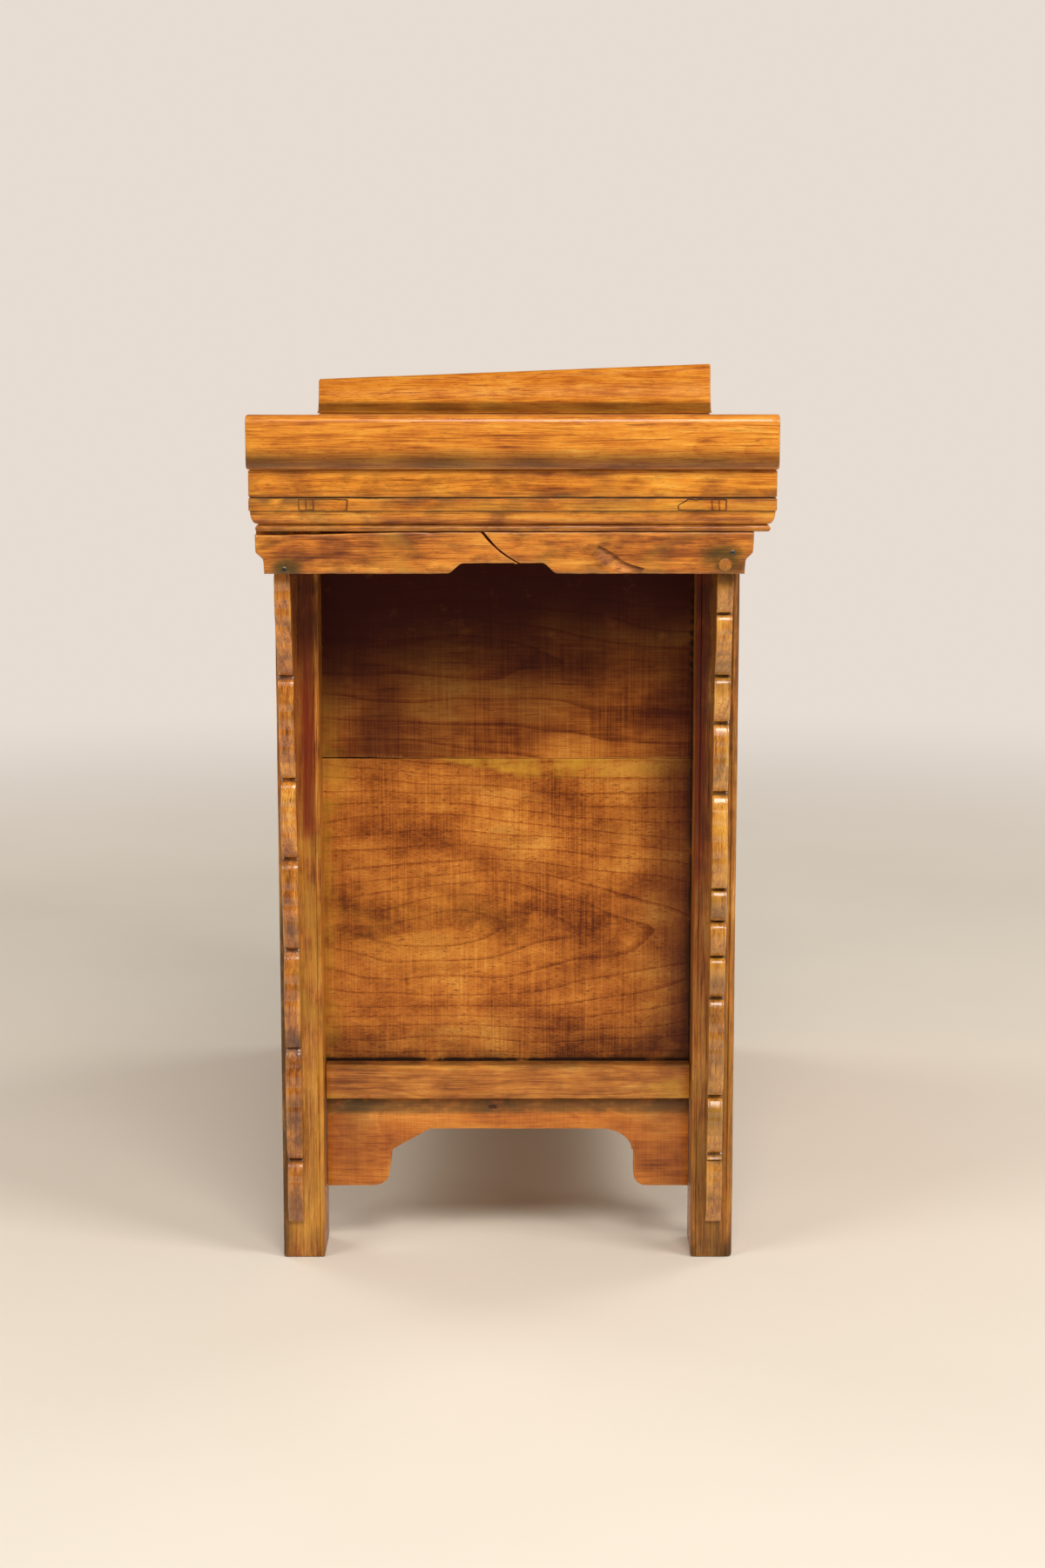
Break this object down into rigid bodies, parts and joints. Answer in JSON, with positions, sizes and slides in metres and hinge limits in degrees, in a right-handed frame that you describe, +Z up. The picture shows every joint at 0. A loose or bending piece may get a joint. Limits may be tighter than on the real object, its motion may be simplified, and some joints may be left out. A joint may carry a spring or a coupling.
{
  "type": "altar cabinet",
  "caption": "Altar cabinet with everted flanges on a joined top, recessed legs with lobed spandrels, drawers with bail pulls over a cupboard with pivot-hung doors.",
  "frame": {"origin": "on the floor, under the middle of the bounding box", "axes": "+X along the cabinet towards its right end as seen from the front, +Y towards the back, +Z up; the doors and drawers face -Y"},
  "size_m": [1.12, 0.52, 0.903],
  "materials": {
    "top_wood": "french-polished honey-orange wood",
    "carcase_wood": "french-polished orange-brown wood",
    "panel_wood": "polished red-brown wood",
    "inner_wood": "bare planed wood",
    "brass": "worn satin with brown patina"
  },
  "bodies": {
    "carcase": {"flange_left": "top_wood", "flange_right": "top_wood", "cleat_left": "top_wood", "cleat_right": "top_wood", "top_board": "top_wood", "frame_front_rail": "top_wood", "frame_back_rail": "top_wood", "frame_left_rail": "top_wood", "frame_right_rail": "top_wood", "top_batten": "inner_wood", "frieze_front": "top_wood", "frieze_back": "top_wood", "frieze_left": "top_wood", "frieze_right": "top_wood", "leg_front_left": "carcase_wood", "leg_front_right": "carcase_wood", "leg_back_left": "carcase_wood", "leg_back_right": "carcase_wood", "spandrel_front_left": "carcase_wood", "spandrel_front_right": "carcase_wood", "spandrel_back_left": "carcase_wood", "spandrel_back_right": "carcase_wood", "side_panel_left": "panel_wood", "side_panel_right": "panel_wood", "side_rail_left": "carcase_wood", "side_rail_right": "carcase_wood", "side_apron_left": "carcase_wood", "side_apron_right": "carcase_wood", "front_apron": "carcase_wood", "front_middle_rail": "carcase_wood", "front_bottom_rail": "carcase_wood", "back_rail": "carcase_wood", "back_panel": "panel_wood", "floor_board": "inner_wood", "drawer_deck": "inner_wood", "drawer_divider": "carcase_wood"},
    "left_drawer": {"drawer_left_front": "carcase_wood", "drawer_left_box": "inner_wood", "drawer_left_bottom": "inner_wood", "drawer_left_plate": "brass"},
    "right_drawer": {"drawer_right_front": "carcase_wood", "drawer_right_box": "inner_wood", "drawer_right_bottom": "inner_wood", "drawer_right_plate": "brass"},
    "left_bail": {"drawer_left_bail": "brass"},
    "right_bail": {"drawer_right_bail": "brass"},
    "left_door": {"door_left_hinge_stile": "carcase_wood", "door_left_meeting_stile": "carcase_wood", "door_left_top_rail": "carcase_wood", "door_left_bottom_rail": "carcase_wood", "door_left_panel": "panel_wood", "door_left_plate": "brass"},
    "right_door": {"door_right_hinge_stile": "carcase_wood", "door_right_meeting_stile": "carcase_wood", "door_right_top_rail": "carcase_wood", "door_right_bottom_rail": "carcase_wood", "door_right_panel": "panel_wood", "door_right_plate": "brass"},
    "left_drop": {"door_left_drop": "brass"},
    "right_drop": {"door_right_drop": "brass"}
  },
  "joints": [
    {"name": "left_drawer_slide", "type": "slide", "parent": "carcase", "child": "left_drawer", "axis": [0, -1, 0], "range_m": [0, 0.28]},
    {"name": "right_drawer_slide", "type": "slide", "parent": "carcase", "child": "right_drawer", "axis": [0, -1, 0], "range_m": [0, 0.28]},
    {"name": "left_bail_swing", "type": "hinge", "parent": "left_drawer", "child": "left_bail", "pos_m": [-0.193, -0.236, 0.6772], "axis": [-1, 0, 0], "range_deg": [0, 95]},
    {"name": "right_bail_swing", "type": "hinge", "parent": "right_drawer", "child": "right_bail", "pos_m": [0.193, -0.236, 0.6772], "axis": [-1, 0, 0], "range_deg": [0, 95]},
    {"name": "left_door_hinge", "type": "hinge", "parent": "carcase", "child": "left_door", "pos_m": [-0.356, -0.2145, 0.206], "axis": [0, 0, -1], "range_deg": [0, 90]},
    {"name": "right_door_hinge", "type": "hinge", "parent": "carcase", "child": "right_door", "pos_m": [0.356, -0.2145, 0.206], "axis": [0, 0, 1], "range_deg": [0, 90]},
    {"name": "left_drop_swing", "type": "hinge", "parent": "left_door", "child": "left_drop", "pos_m": [-0.023, -0.2326, 0.3951], "axis": [-1, 0, 0], "range_deg": [0, 80]},
    {"name": "right_drop_swing", "type": "hinge", "parent": "right_door", "child": "right_drop", "pos_m": [0.023, -0.2326, 0.3951], "axis": [-1, 0, 0], "range_deg": [0, 80]}
  ]
}
